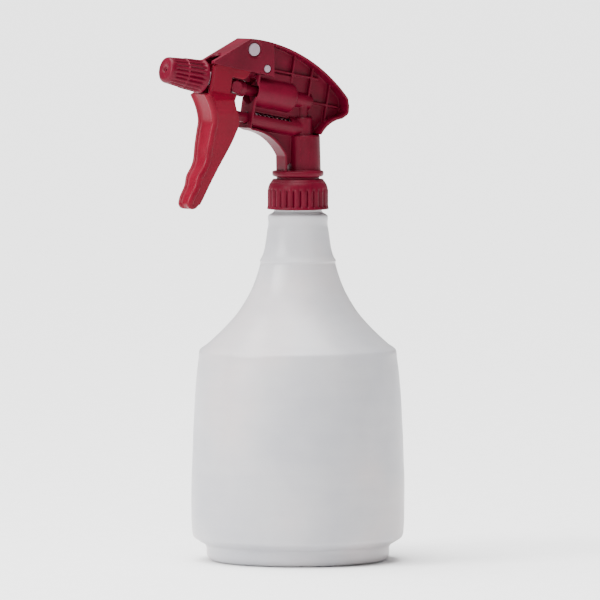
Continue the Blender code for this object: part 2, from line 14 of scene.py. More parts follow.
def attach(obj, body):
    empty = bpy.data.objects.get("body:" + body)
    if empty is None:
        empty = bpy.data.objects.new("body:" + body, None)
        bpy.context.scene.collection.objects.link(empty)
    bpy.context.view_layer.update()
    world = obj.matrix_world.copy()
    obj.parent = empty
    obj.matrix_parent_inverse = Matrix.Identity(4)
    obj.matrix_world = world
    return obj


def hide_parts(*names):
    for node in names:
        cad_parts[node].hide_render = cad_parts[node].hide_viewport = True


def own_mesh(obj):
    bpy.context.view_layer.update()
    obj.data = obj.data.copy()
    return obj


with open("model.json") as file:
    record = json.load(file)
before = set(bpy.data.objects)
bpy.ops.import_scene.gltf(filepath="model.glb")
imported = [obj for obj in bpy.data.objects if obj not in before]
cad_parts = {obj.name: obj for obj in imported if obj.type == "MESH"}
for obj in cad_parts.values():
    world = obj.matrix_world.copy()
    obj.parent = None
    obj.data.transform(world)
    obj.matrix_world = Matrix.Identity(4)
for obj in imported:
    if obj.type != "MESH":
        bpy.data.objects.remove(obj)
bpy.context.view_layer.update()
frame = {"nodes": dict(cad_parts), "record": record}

MM = 0.001

TILT = math.radians(10.5)
BARREL_Z = 244.1
NOZZLE_T = 2.0
SPRING_T = -14.6
SPRING_FRONT = -24.9
SPRING_REAR = -1.5
DUCT_T = 9.1
PIVOT = (-35.85, 21.1)
SMALL_PIN = (-26.1, 12.45)
RISER_X = 2.7
NECK_X = 3.7
SHROUD_HALF = 7.0
SHROUD_WALL = 1.2
SHROUD_REAR_X = -18.4
SEAM = 0.8
ROOF_SLOPE = 0.38
PANEL_T = 9.6
WEB = 0.9
FLANGE = 1.3
RIB_A_T = 12.7
RIB_PITCH = 12.2
WALL_INSET = 0.17
BOTTLE_WALL = 1.2
CAP_RIBS = 26
CAP_GROOVE = 1.3
KNOB_FLUTES = 20
STEPS_PER_RIB = 16
THREAD_PITCH = 4.23
THREAD_TURNS = 1.5
THREAD_START_Z = 188.9

BARREL = Matrix.Translation((0, 0, BARREL_Z)) @ Matrix.Rotation(TILT, 4, 'Y')


# ---------------------------------------------------------------- mesh tools

def to_world(u, t, y=0.0):
    """A point given along and above the pump's axis."""
    return BARREL @ Vector((u, y, t))


def xz(u, t):
    point = to_world(u, t)
    return point.x, point.z


def make(name, verts, faces, place=None):
    """A mesh object from points in millimetres, placed by an optional matrix."""
    place = place or Matrix.Identity(4)
    mesh = bpy.data.meshes.new(name)
    mesh.from_pydata([tuple((place @ Vector(v)) * MM) for v in verts], [], faces)
    solid = bmesh.new()
    solid.from_mesh(mesh)
    bmesh.ops.remove_doubles(solid, verts=solid.verts, dist=1e-7)
    bmesh.ops.dissolve_degenerate(solid, edges=solid.edges, dist=1e-7)
    bmesh.ops.recalc_face_normals(solid, faces=solid.faces)
    if solid.calc_volume(signed=True) < 0:
        bmesh.ops.reverse_faces(solid, faces=solid.faces)
    solid.to_mesh(mesh)
    solid.free()
    shape = bpy.data.objects.new(name, mesh)
    bpy.context.scene.collection.objects.link(shape)
    return shape


def grid_faces(rows, columns, close_rows):
    faces = []
    for i in range(rows if close_rows else rows - 1):
        for j in range(columns):
            k = (j + 1) % columns
            n = (i + 1) % rows
            faces.append((i * columns + j, i * columns + k, n * columns + k, n * columns + j))
    return faces


def turn(name, profile, segments=96, place=None, radius_at=None):
    """A turned shape from (radius, z) points in order around its section."""
    verts = []
    for r, z in profile:
        for j in range(segments):
            angle = 2 * math.pi * j / segments
            rr = radius_at(r, z, angle) if radius_at else r
            verts.append((rr * math.cos(angle), rr * math.sin(angle), z))
    closed = profile[0][0] > 1e-6 and profile[-1][0] > 1e-6
    return make(name, verts, grid_faces(len(profile), segments, closed), place)


def rod(name, radius, low, high, place=None, segments=64, x=0.0, y=0.0, top_radius=None):
    """A round bar along the matrix's Z."""
    top = radius if top_radius is None else top_radius
    verts = []
    for r, z in ((radius, low), (top, high)):
        for j in range(segments):
            angle = 2 * math.pi * j / segments
            verts.append((x + r * math.cos(angle), y + r * math.sin(angle), z))
    faces = grid_faces(2, segments, False)
    faces.append(tuple(range(segments - 1, -1, -1)))
    faces.append(tuple(range(segments, 2 * segments)))
    return make(name, verts, faces, place)


def along_barrel(t=0.0):
    """A matrix whose Z runs rearward along the barrel, at height t above the pump's axis."""
    return BARREL @ Matrix.Translation((0, 0, t)) @ Matrix.Rotation(math.pi / 2, 4, 'Y')


def across(u, t):
    """A matrix whose Z runs along +Y through a point of the barrel's plane."""
    return BARREL @ Matrix.Translation((u, 0, t)) @ Matrix.Rotation(-math.pi / 2, 4, 'X')


def plate(name, outline, low_y, high_y, place=None):
    """An outline in the X-Z plane, extruded along Y."""
    count = len(outline)
    verts = [(x, low_y, z) for x, z in outline] + [(x, high_y, z) for x, z in outline]
    faces = [tuple(range(count)), tuple(range(2 * count - 1, count - 1, -1))]
    for i in range(count):
        k = (i + 1) % count
        faces.append((i, count + i, count + k, k))
    return make(name, verts, faces, place)


def loft(name, sections, place=None):
    """A solid through closed sections with equal counts of points."""
    count = len(sections[0])
    verts = [point for section in sections for point in section]
    faces = grid_faces(len(sections), count, False)
    last = (len(sections) - 1) * count
    faces.append(tuple(range(count - 1, -1, -1)))
    faces.append(tuple(range(last, last + count)))
    return make(name, verts, faces, place)


def arc(start, middle, end, count):
    """Points on the circle through three points, both ends included."""
    (ax, ay), (bx, by), (cx, cy) = start, middle, end
    d = 2 * (ax * (by - cy) + bx * (cy - ay) + cx * (ay - by))
    a2, b2, c2 = ax * ax + ay * ay, bx * bx + by * by, cx * cx + cy * cy
    ox = (a2 * (by - cy) + b2 * (cy - ay) + c2 * (ay - by)) / d
    oy = (a2 * (cx - bx) + b2 * (ax - cx) + c2 * (bx - ax)) / d
    radius = math.hypot(ax - ox, ay - oy)
    first = math.atan2(ay - oy, ax - ox)
    sweep = (math.atan2(cy - oy, cx - ox) - first) % (2 * math.pi)
    if (math.atan2(by - oy, bx - ox) - first) % (2 * math.pi) > sweep:
        sweep -= 2 * math.pi
    return [(ox + radius * math.cos(first + sweep * i / (count - 1)),
             oy + radius * math.sin(first + sweep * i / (count - 1))) for i in range(count)]


def spline(points, steps):
    """A smooth curve through the points."""
    out = []
    for i in range(len(points) - 1):
        p0 = Vector(points[max(i - 1, 0)])
        p1 = Vector(points[i])
        p2 = Vector(points[i + 1])
        p3 = Vector(points[min(i + 2, len(points) - 1)])
        for k in range(steps):
            s = k / steps
            out.append(tuple(0.5 * ((2 * p1) + (p2 - p0) * s + (2 * p0 - 5 * p1 + 4 * p2 - p3) * s * s
                                    + (3 * p1 - p0 - 3 * p2 + p3) * s ** 3)))
    out.append(tuple(points[-1]))
    return out


def rounded(points, radius, steps=4, closed=False):
    """The line with each inner corner replaced by a small curve."""
    count = len(points)
    out = [] if closed else [points[0]]
    for i in range(0 if closed else 1, count if closed else count - 1):
        here = Vector(points[i])
        before = Vector(points[i - 1]) - here
        after = Vector(points[(i + 1) % count]) - here
        reach = min(radius, before.length * 0.45, after.length * 0.45)
        start = here + before.normalized() * reach
        end = here + after.normalized() * reach
        for k in range(steps + 1):
            s = k / steps
            out.append(tuple(start * (1 - s) ** 2 + here * 2 * s * (1 - s) + end * s ** 2))
    if not closed:
        out.append(points[-1])
    return out


def offset(points, distance):
    """The open line moved to its left by the distance."""
    moved = []
    for i, point in enumerate(points):
        before = Vector(points[max(i - 1, 0)])
        after = Vector(points[min(i + 1, len(points) - 1)])
        way = (after - before).normalized()
        moved.append((point[0] - way.y * distance, point[1] + way.x * distance))
    return moved


def evaluate(shape):
    """Applies the shape's modifiers."""
    bpy.context.view_layer.update()
    graph = bpy.context.evaluated_depsgraph_get()
    result = bpy.data.meshes.new_from_object(shape.evaluated_get(graph))
    shape.modifiers.clear()
    shape.data = result
    return shape


def boolean(target, tools, operation):
    for tool in tools:
        modifier = target.modifiers.new('join', 'BOOLEAN')
        modifier.operation = operation
        modifier.solver = 'MANIFOLD'
        modifier.object = tool
        evaluate(target)
        bpy.data.objects.remove(tool, do_unlink=True)
    return target


def join(target, *tools):
    return boolean(target, tools, 'UNION')


def cut(target, *tools):
    return boolean(target, tools, 'DIFFERENCE')


def moulded(shape, voxel, rounds, factor=0.5):
    """Remeshes a solid finely and softens its edges, as a moulding's are."""
    remesh = shape.modifiers.new('remesh', 'REMESH')
    remesh.mode = 'VOXEL'
    remesh.voxel_size = voxel * MM
    soft = shape.modifiers.new('soft', 'SMOOTH')
    soft.factor = factor
    soft.iterations = rounds
    return evaluate(shape)


def helix_ridge(name, start_z, root, crest, pitch, turns, root_half, crest_half, place=None):
    """A screw thread's ridge that fades in at both ends."""
    steps = int(turns * 72)
    sections = []
    for i in range(steps + 1):
        angle = 2 * math.pi * turns * i / steps
        z = start_z + pitch * turns * i / steps
        height = min(1.0, 0.15 + 6.0 * min(i, steps - i) / steps)
        top = root + (crest - root) * height
        section = [(root, -root_half), (top, -crest_half), (top, crest_half), (root, root_half)]
        sections.append([(r * math.cos(angle), r * math.sin(angle), z + dz) for r, dz in section])
    return loft(name, sections, place)


def coil(name, radius, wire, low, high, turns, place, sides=10, steps_per_turn=32):
    """A compression spring along the matrix's Z, with closed end turns."""
    steps = int(turns * steps_per_turn)
    sections = []
    for i in range(steps + 1):
        share = i / steps
        eased = share + 0.035 * math.sin(2 * math.pi * (2 * share - 0.5)) * (abs(2 * share - 1) ** 6)
        angle = 2 * math.pi * turns * share
        z = low + wire + (high - low - 2 * wire) * min(max(eased, 0.0), 1.0)
        ring = []
        for k in range(sides):
            around = 2 * math.pi * k / sides
            r = radius + wire * math.cos(around)
            ring.append((r * math.cos(angle), r * math.sin(angle), z + wire * math.sin(around)))
        sections.append(ring)
    return loft(name, sections, place)


# ---------------------------------------------------------------- materials

def nodes_of(material):
    material.use_nodes = True
    tree = material.node_tree
    return tree, tree.nodes['Principled BSDF']


def noise(tree, coords, scale, detail=3.0, roughness=0.5):
    node = tree.nodes.new('ShaderNodeTexNoise')
    node.inputs['Scale'].default_value = scale
    node.inputs['Detail'].default_value = detail
    node.inputs['Roughness'].default_value = roughness
    tree.links.new(coords, node.inputs['Vector'])
    return node.outputs['Fac']


def ramp(tree, value, stops):
    node = tree.nodes.new('ShaderNodeValToRGB')
    elements = node.color_ramp.elements
    while len(elements) < len(stops):
        elements.new(0.5)
    for element, (position, colour) in zip(elements, stops):
        element.position = position
        element.color = (*colour, 1)
    tree.links.new(value, node.inputs['Fac'])
    return node.outputs['Color']


def blend(tree, factor, first, second, mode='MIX'):
    node = tree.nodes.new('ShaderNodeMix')
    node.data_type = 'RGBA'
    node.blend_type = mode
    if isinstance(factor, float):
        node.inputs['Factor'].default_value = factor
    else:
        tree.links.new(factor, node.inputs['Factor'])
    tree.links.new(first, node.inputs['A'])
    tree.links.new(second, node.inputs['B'])
    return node.outputs['Result']


def bump(tree, height, strength, distance, normal=None):
    node = tree.nodes.new('ShaderNodeBump')
    node.inputs['Strength'].default_value = strength
    node.inputs['Distance'].default_value = distance
    tree.links.new(height, node.inputs['Height'])
    if normal is not None:
        tree.links.new(normal, node.inputs['Normal'])
    return node.outputs['Normal']


def shaded(tree, value, low, high, from_low=0.3, from_high=0.7):
    node = tree.nodes.new('ShaderNodeMapRange')
    node.inputs['From Min'].default_value = from_low
    node.inputs['From Max'].default_value = from_high
    node.inputs['To Min'].default_value = low
    node.inputs['To Max'].default_value = high
    tree.links.new(value, node.inputs['Value'])
    return node.outputs['Result']


def moulded_plastic(name, deep, mid, light, roughness, grain=2600.0, relief=0.00003):
    """Moulded plastic: slow flow marks, a fine eroded grain and paler convex edges, a painted edge highlight.
    """
    material = bpy.data.materials.new(name)
    tree, shader = nodes_of(material)
    coords = tree.nodes.new('ShaderNodeTexCoord').outputs['Object']
    flow = noise(tree, coords, 60.0, 4.0, 0.55)
    speck = noise(tree, coords, 900.0, 2.0)
    body = ramp(tree, flow, [(0.3, deep), (0.55, mid), (0.8, light)])
    freckle = ramp(tree, speck, [(0.35, (0.9, 0.9, 0.9)), (0.65, (1.06, 1.06, 1.06))])
    colour = blend(tree, 0.7, body, freckle, 'MULTIPLY')
    # Convex edges, found by pointiness, are painted paler: a painted highlight along the edges.
    edge = tree.nodes.new('ShaderNodeNewGeometry').outputs['Pointiness']
    edge_highlight = shaded(tree, edge, 0.0, 0.3, 0.52, 0.62)
    highlight_colour = ramp(tree, flow, [(0.0, light), (1.0, tuple(min(1.0, c * 1.6 + 0.004) for c in light))])
    colour = blend(tree, edge_highlight, colour, highlight_colour)
    tree.links.new(colour, shader.inputs['Base Color'])
    fine = noise(tree, coords, grain, 2.0, 0.6)
    tree.links.new(shaded(tree, flow, roughness - 0.05, roughness + 0.08), shader.inputs['Roughness'])
    sink = bump(tree, noise(tree, coords, 160.0, 2.0), 0.25, 0.0002)
    tree.links.new(bump(tree, fine, 0.35, relief * 3, sink), shader.inputs['Normal'])
    shader.inputs['IOR'].default_value = 1.49
    shader.inputs['Specular IOR Level'].default_value = 0.12
    return material


def bottle_material():
    """Natural polyethylene: milky, with faint cool and warm clouds and the blown wall's orange peel."""
    material = bpy.data.materials.new('natural_hdpe')
    tree, shader = nodes_of(material)
    coords = tree.nodes.new('ShaderNodeTexCoord').outputs['Object']
    cloud = noise(tree, coords, 16.0, 3.0, 0.5)
    small = noise(tree, coords, 110.0, 3.0, 0.6)
    stretch = tree.nodes.new('ShaderNodeMapping')
    stretch.inputs['Scale'].default_value = (14.0, 14.0, 150.0)
    tree.links.new(coords, stretch.inputs['Vector'])
    streak = noise(tree, stretch.outputs['Vector'], 1.0, 4.0, 0.6)
    body = ramp(tree, cloud, [(0.34, (0.495, 0.498, 0.530)), (0.5, (0.560, 0.553, 0.572)),
                              (0.64, (0.620, 0.575, 0.578))])
    mottle = ramp(tree, small, [(0.3, (0.965, 0.955, 0.96)), (0.7, (1.0, 1.0, 1.0))])
    lines = ramp(tree, streak, [(0.35, (0.955, 0.955, 0.965)), (0.65, (1.0, 1.0, 1.0))])
    colour = blend(tree, 1.0, body, mottle, 'MULTIPLY')
    tree.links.new(blend(tree, 1.0, colour, lines, 'MULTIPLY'), shader.inputs['Base Color'])
    tree.links.new(shaded(tree, small, 0.30, 0.40), shader.inputs['Roughness'])
    peel = bump(tree, noise(tree, coords, 420.0, 2.0), 0.12, 0.0002)
    waves = bump(tree, noise(tree, coords, 45.0, 2.0), 0.2, 0.0006, peel)
    tree.links.new(waves, shader.inputs['Normal'])
    shader.inputs['Subsurface Weight'].default_value = 0.3
    shader.inputs['Subsurface Radius'].default_value = (0.006, 0.006, 0.006)
    shader.inputs['Subsurface Scale'].default_value = 1.0
    shader.inputs['Transmission Weight'].default_value = 0.22
    shader.inputs['IOR'].default_value = 1.5
    return material


def metal_material():
    """Drawn stainless wire with fine lengthwise scratches."""
    material = bpy.data.materials.new('stainless')
    tree, shader = nodes_of(material)
    coords = tree.nodes.new('ShaderNodeTexCoord').outputs['Object']
    marks = noise(tree, coords, 1800.0, 4.0, 0.65)
    colour = ramp(tree, marks, [(0.3, (0.72, 0.70, 0.71)), (0.7, (0.86, 0.84, 0.85))])
    tree.links.new(colour, shader.inputs['Base Color'])
    tree.links.new(shaded(tree, marks, 0.3, 0.5), shader.inputs['Roughness'])
    tree.links.new(bump(tree, marks, 0.2, 0.00003), shader.inputs['Normal'])
    shader.inputs['Metallic'].default_value = 1.0
    return material


RED = moulded_plastic('red_plastic', (0.066, 0.0003, 0.007), (0.088, 0.0005, 0.010),
                      (0.115, 0.0007, 0.014), 0.40)
# The trigger's red is the frame's plastic painted brighter: painted light where the key light falls on the
# trigger.
TRIGGER_RED_LIT = moulded_plastic('trigger_plastic', (0.098, 0.0004, 0.008), (0.125, 0.0006, 0.010),
                              (0.155, 0.0008, 0.014), 0.34)
WHITE = moulded_plastic('white_plastic', (0.25, 0.19, 0.225), (0.29, 0.225, 0.26),
                        (0.34, 0.28, 0.31), 0.6, 1500.0)
RUBBER = moulded_plastic('seal_rubber', (0.015, 0.015, 0.016), (0.025, 0.025, 0.027),
                         (0.04, 0.04, 0.043), 0.7)
TUBE = moulded_plastic('tube_plastic', (0.62, 0.62, 0.63), (0.70, 0.70, 0.71), (0.76, 0.76, 0.77), 0.35)
BOTTLE = bottle_material()
METAL = metal_material()
SLOT_MATERIALS = {
    'red_plastic': RED,
    'trigger_plastic': TRIGGER_RED_LIT,
    'white_plastic': WHITE,
    'seal_rubber': RUBBER,
    'tube_plastic': TUBE,
    'natural_hdpe': BOTTLE,
    'stainless': METAL,
}


def dress(shape, node, body, angle=40.0):
    """Gives a piece its node's material and place on its body, in place of the node."""
    slots = {part['node']: part['material_slot'] for part in frame['record']['subparts']}
    shape.data.materials.clear()
    shape.data.materials.append(SLOT_MATERIALS[slots[node]])
    for face in shape.data.polygons:
        face.material_index = 0
    shape.data.shade_smooth()
    shape.data.set_sharp_from_angle(angle=math.radians(angle))
    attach(shape, body)
    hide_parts(node)
    return shape


# ---------------------------------------------------------------- bottle and closure

def bottle_outline():
    """The outer line of the bottle from the foot's edge to the neck's rim."""
    foot = [(44.6, 0.0), (46.2, 0.35), (47.5, 1.3), (48.3, 3.0), (48.5, 5.0), (48.5, 7.6)]
    lower = [(49.4, 8.7), (51.6, 9.8), (53.4, 10.9), (54.9, 11.9), (55.8, 13.1), (56.3, 15.8)]
    body = [(56.55, 19.0), (56.7, 24.0), (56.7, 43.0), (56.3, 52.0), (55.9, 65.0), (55.4, 75.0)]
    body += [(54.8, 87.0), (53.8, 99.5), (52.8, 107.5), (52.6, 110.2), (52.15, 111.7), (51.2, 112.8)]
    shoulder = [(48.1, 114.8), (43.5, 119.0), (39.2, 123.2), (35.2, 127.5), (31.7, 131.8), (29.0, 136.0)]
    shoulder += [(26.5, 140.2), (24.4, 144.4), (22.7, 148.7), (21.3, 152.9), (20.2, 157.0)]
    throat = [(20.1, 158.2), (20.35, 159.0), (19.7, 160.2), (18.8, 162.0), (17.8, 165.6), (17.0, 170.9)]
    throat += [(16.4, 175.2), (15.95, 177.6), (15.9, 182.2), (15.2, 183.4), (13.6, 184.3), (12.7, 185.2)]
    return spline(foot, 3)[:-1] + spline(lower, 3)[:-1] + spline(body, 3)[:-1] + spline(shoulder + throat, 4)


def parting_line(r, z, angle):
    """The blow mould's fine parting ridge on two sides, and slight waviness of the blown wall."""
    side = abs(math.sin(angle - math.radians(18)))
    ridge = 0.09 * math.exp(-(side / 0.012) ** 2)
    wave = 0.06 * math.sin(3 * angle + z * 0.05) * min(1.0, max(0.0, (150 - z) / 60.0))
    return r - WALL_INSET + ridge + wave


def build_bottle():
    outside = bottle_outline()
    inside = [(r, z) for r, z in offset(outside, BOTTLE_WALL) if r > 11.2 and 10.6 < z < 183.4]
    floor = [(0.0, 2.4), (38.0, 2.3), (45.0, 3.2), (46.6, 5.0), (47.2, 8.2)]
    base = [(0.0, 0.0), (26.0, 0.0), (27.2, 0.5), (29.0, 0.8), (40.2, 0.8), (42.2, 0.3), (43.4, 0.0)]
    rim = [(12.7, 197.3), (12.4, 197.7), (11.2, 197.7), (10.9, 197.3), (10.9, 184.6)]
    profile = base + outside + rim + list(reversed(inside)) + list(reversed(floor))

    def wall(r, z, angle):
        return parting_line(r, z, angle) if r > 13.0 and 9.5 < z < 180.0 else r

    shape = turn('bottle_shell', profile, 192, radius_at=wall)
    join(shape, helix_ridge('thread', THREAD_START_Z, 12.4, 13.85, THREAD_PITCH, THREAD_TURNS, 0.85, 0.4))
    return dress(shape, 'bottle', 'bottle')


def build_closure_cap():
    """The screw cap: rounded grip ribs that stop in small scallops under the shoulder."""
    bore = 14.4
    crown = [(13.9, 201.2), (13.6, 201.9), (13.1, 202.25)]
    profile = [(16.1, 186.3), (16.35, 186.5), (16.35, 187.2), (16.2, 187.5), (16.15, 188.0)]
    profile += [(16.12, 188.0 + 0.5 * i) for i in range(1, 17)]
    profile += [(16.0, 196.6), (15.85, 197.2), (15.65, 198.0), (15.35, 199.0), (14.9, 199.9), (14.4, 200.6)]
    profile += crown
    profile += [(11.8, 202.3), (11.8, 200.9), (bore, 200.9), (bore, 186.3)]

    def rib(r, z, angle):
        if r < 14.45 or z < 187.4 or z > 199.2:
            return r
        wave = 0.5 + 0.5 * math.cos(CAP_RIBS * angle)
        groove = 1.0 - wave ** 0.3
        fade = min(1.0, (z - 187.4) / 0.5) * min(1.0, max(0.0, (197.2 + 1.6 * wave - z) / 1.0))
        return r - CAP_GROOVE * groove * fade

    shape = turn('cap_shell', profile, CAP_RIBS * STEPS_PER_RIB, radius_at=rib)
    ridge = helix_ridge('thread', THREAD_START_Z - THREAD_PITCH / 2, bore + 0.2, bore - 0.95, THREAD_PITCH,
                        THREAD_TURNS, 0.85, 0.4)
    join(shape, ridge)
    return dress(shape, 'closure_cap', 'cap', 50.0)


# ---------------------------------------------------------------- frame

def roof_line(count=60):
    """The roof's curve from the apex to the tail."""
    return arc((-33.6, 277.2), (0.4, 266.7), (26.2, 244.7), count)


def tail_line():
    """From the tail's rear edge, under it and down to the neck."""
    under = arc((22.6, 233.9), (14.6, 230.9), (9.7, 225.6), 14)
    return rounded([(26.9, 240.9), (26.7, 236.4)] + under[:1], 1.8, 6)[:-1] + under


def front_line():
    """Down the front wall, along the lower arc and down the neck's front."""
    top = xz(-30.8, 8.6)
    corner = xz(-30.8, -20.0)
    curve = arc((-31.2, 228.7), (-18.0, 223.2), (-10.9, 214.8), 28)
    return [top, corner] + curve + [(-10.7, 205.4)]


def flange_width(x, z):
    """The flange grows wider from the front to the tail."""
    if x < -29.0 and z > 229.5:
        return 5.9
    if z < 232.0 and x < 0:
        return 5.0
    share = min(max((x + 18.0) / 44.0, 0.0), 1.0)
    return SHROUD_HALF + 2.0 * share


def strip(name, line, thickness, width_at):
    """A flange that follows a line, with its thickness to the line's left and its edges rolled."""
    sections = []
    for i, (x, z) in enumerate(line):
        half = width_at(x, z)
        levels = ((0.0, 0.35), (0.18, 0.08), (0.5, 0.0), (0.82, 0.08), (1.0, 0.35))
        ring = [(share, -half + inset) for share, inset in levels]
        ring += [(share, half - inset) for share, inset in reversed(levels)]
        sections.append((ring, i))
    moved = {share: offset(line, thickness * share) for share in (0.0, 0.18, 0.5, 0.82, 1.0)}
    rings = [[(moved[share][i][0], y, moved[share][i][1]) for share, y in ring] for ring, i in sections]
    return loft(name, rings)


def web_outline():
    """The central web: the whole side area between the roof, the tail, the neck and the front."""
    roof = [point for point in roof_line() if point[0] > SHROUD_REAR_X + 0.6]
    line = roof + tail_line() + list(reversed(front_line()))
    return [(x * 0.985 - 0.1, BARREL_Z + (z - BARREL_Z) * 0.985 if z > 215 else z + 0.4) for x, z in line]


def shroud_roof(count=60):
    """The shroud's outer line from its front edge over the apex to its rear edge."""
    curve = [point for point in roof_line(count) if point[0] < SHROUD_REAR_X - 0.6]
    rear_x = SHROUD_REAR_X - SEAM
    return [xz(-59.8, 10.9)] + curve + [(rear_x, curve[-1][1] - ROOF_SLOPE * (rear_x - curve[-1][0]))]


def spine_outline():
    """The web's forward part, which runs under the shroud between the trigger's cheeks."""
    under_roof = offset(shroud_roof(), -(SHROUD_WALL + 0.4))
    rear = [xz(-12.0, 20.0), xz(-12.0, 4.28), xz(-46.2, 4.28), xz(-48.0, 3.0)]
    return [xz(-54.0, 3.0), xz(-54.0, 12.4)] + under_roof[1:] + rear


def frame_ribs(target):
    """The two long ribs along the barrel and the cross ribs of the side pockets."""
    for t, low, high in ((RIB_A_T, -20.0, 9.5), (0.0, 5.0, 24.6)):
        line = [(low, t - 0.5), (low, t + 0.5), (high, t + 0.5), (high, t - 0.5)]
        join(target, plate('rib', line, -3.1, 3.1, BARREL))
    for index, (low, high) in enumerate(((6.5, 22.0), (3.0, 17.6), (-13.0, 10.6))):
        u = -7.7 + RIB_PITCH * index
        cross = [(u - 0.5, low), (u - 0.5, high), (u + 0.5, high), (u + 0.5, low)]
        join(target, plate('cross_rib', cross, -3.1, 3.1, BARREL))


def build_body_frame():
    roof = [point for point in roof_line() if point[0] > SHROUD_REAR_X + 0.6]
    roof.insert(0, (SHROUD_REAR_X, roof[0][1] + ROOF_SLOPE * (roof[0][0] - SHROUD_REAR_X)))
    shape = strip('frame_shell', roof + tail_line(), -FLANGE, flange_width)
    join(shape, strip('front', front_line(), FLANGE, flange_width))
    join(shape, plate('web', web_outline(), -WEB, WEB))
    join(shape, plate('spine', spine_outline(), -WEB, WEB))
    barrel = along_barrel()
    cylinder = [(0.0, -29.9), (7.5, -29.9), (7.85, -29.5), (7.85, -6.0), (7.3, -5.0), (0.0, -5.0)]
    join(shape, turn('cylinder', cylinder, 96, barrel))
    join(shape, rod('stub', 3.95, -6.5, 7.2, barrel))
    join(shape, rod('housing', 5.0, -29.4, 2.5, along_barrel(SPRING_T)))
    duct = [(-31.0, 6.4), (-31.0, 11.3), (-6.9, 11.3), (-6.2, 10.6), (-6.2, 6.0)]
    join(shape, plate('duct', duct, -2.6, 2.6, BARREL))
    join(shape, rod('duct_tube', 2.3, -50.5, -30.0, along_barrel(DUCT_T), 48))
    join(shape, plate('link', [(-50.8, 0.5), (-50.8, 10.2), (-46.9, 10.2), (-46.9, 0.5)], -2.5, 2.5, BARREL))
    join(shape, rod('nozzle_root', 3.8, -57.6, -46.6, along_barrel(NOZZLE_T), 64))
    join(shape, rod('pin_boss', 3.3, -5.4, 5.4, across(*SMALL_PIN), 48))
    join(shape, rod('riser', 2.95, 233.0, 243.6, x=RISER_X))
    boss = [(0.0, 224.0), (5.6, 224.0), (5.45, 234.2), (5.0, 234.8), (0.0, 234.8)]
    join(shape, turn('riser_boss', boss, 64, Matrix.Translation((RISER_X, 0, 0))))
    neck = [(0.0, 204.8), (9.1, 204.8), (8.6, 225.0), (8.2, 225.4), (0.0, 225.4)]
    join(shape, turn('neck', neck, 80, Matrix.Translation((NECK_X, 0, 0))))
    rings = [(0.0, 199.2), (12.6, 199.2), (12.6, 200.6), (11.35, 200.6), (11.35, 203.5), (12.6, 203.6)]
    rings += [(13.3, 203.95), (13.62, 204.6), (13.65, 205.3), (13.62, 206.0), (13.3, 206.55)]
    rings += [(12.6, 206.7), (0.0, 206.7)]
    join(shape, turn('rings', rings, 120))
    frame_ribs(shape)
    cut(shape, rod('pump_bore', 7.15, -32.0, -6.6, barrel, 96))
    cut(shape, rod('inlet_bore', 1.9, -8.0, 4.9, barrel, 32))
    cut(shape, rod('outlet_bore', 1.0, -49.6, -7.6, along_barrel(DUCT_T), 20))
    cut(shape, rod('nozzle_socket', 2.95, -60.0, -51.6, along_barrel(NOZZLE_T), 48))
    cut(shape, rod('spring_bore', 3.9, -28.4, -1.2, along_barrel(SPRING_T), 62))
    cut(shape, rod('plunger_hole', 3.1, -32.0, -27.0, along_barrel(SPRING_T), 44))
    low, high = SPRING_T + 2.2, SPRING_T + 5.4
    window = [(-27.6, low), (-27.6, high), (-4.6, high), (-4.6, low)]
    cut(shape, plate('window', window, -9.0, -WEB - 0.1, BARREL))
    cut(shape, rod('stem_hollow', 8.6, 197.0, 204.6))
    cut(shape, rod('neck_hollow', 7.1, 203.5, 223.6, x=NECK_X, segments=52))
    join(shape, rod('tube_socket', 5.3, 205.5, 224.8, x=RISER_X, segments=56))
    cut(shape, rod('adapter_bore', 4.3, 198.0, 232.1, x=RISER_X, segments=44))
    cut(shape, rod('pivot_hole', 2.5, -3, 3, across(*PIVOT), 40))
    cut(shape, rod('pin_hole', 2.3, -8, 8, across(*SMALL_PIN), 40))
    moulded(shape, 0.2, 4)
    return dress(shape, 'body_frame', 'head', 60.0)


def build_front_shroud():
    line = shroud_roof()
    rear = (line[-1][0], xz(-19.0, PANEL_T)[1])
    outline = line + [rear, xz(-59.8, PANEL_T)]
    shape = plate('shroud_shell', outline, -SHROUD_HALF, SHROUD_HALF)
    roof = offset(line, -SHROUD_WALL)
    first, last = roof[0], roof[-1]
    low = BARREL_Z - 20.0
    hollow = [(first[0] - 8.0, first[1] - 6.0)] + roof + [(last[0] + 8.0, last[1] - 3.0)]
    hollow += [(last[0] + 8.0, low), (first[0] - 8.0, low)]
    inner = SHROUD_HALF - SHROUD_WALL
    cut(shape, plate('hollow', hollow, -inner, inner))
    notch = arc((-55.0, -4.2), (-52.6, 0.0), (-55.0, 4.2), 17)
    block = [(u, y) for u, y in notch] + [(-64.0, 4.2), (-64.0, -4.2)]
    verts = [(u, y, t) for t in (5.0, 24.0) for u, y in block]
    count = len(block)
    faces = grid_faces(2, count, False) + [tuple(range(count)), tuple(range(2 * count - 1, count - 1, -1))]
    cut(shape, make('notch', verts, faces, BARREL))
    for depth in (-9.0, SHROUD_HALF - 0.45):
        ring = rod('pin_seat', 4.6, depth, depth + 9.0 - SHROUD_HALF + 0.45, across(*PIVOT), 72)
        cut(shape, ring)
    cut(shape, rod('pivot_hole', 3.7, -9, 9, across(*PIVOT), 64))
    cut(shape, rod('pin_hole', 2.3, -9, 9, across(*SMALL_PIN), 48))
    moulded(shape, 0.16, 3)
    return dress(shape, 'front_shroud', 'head', 60.0)


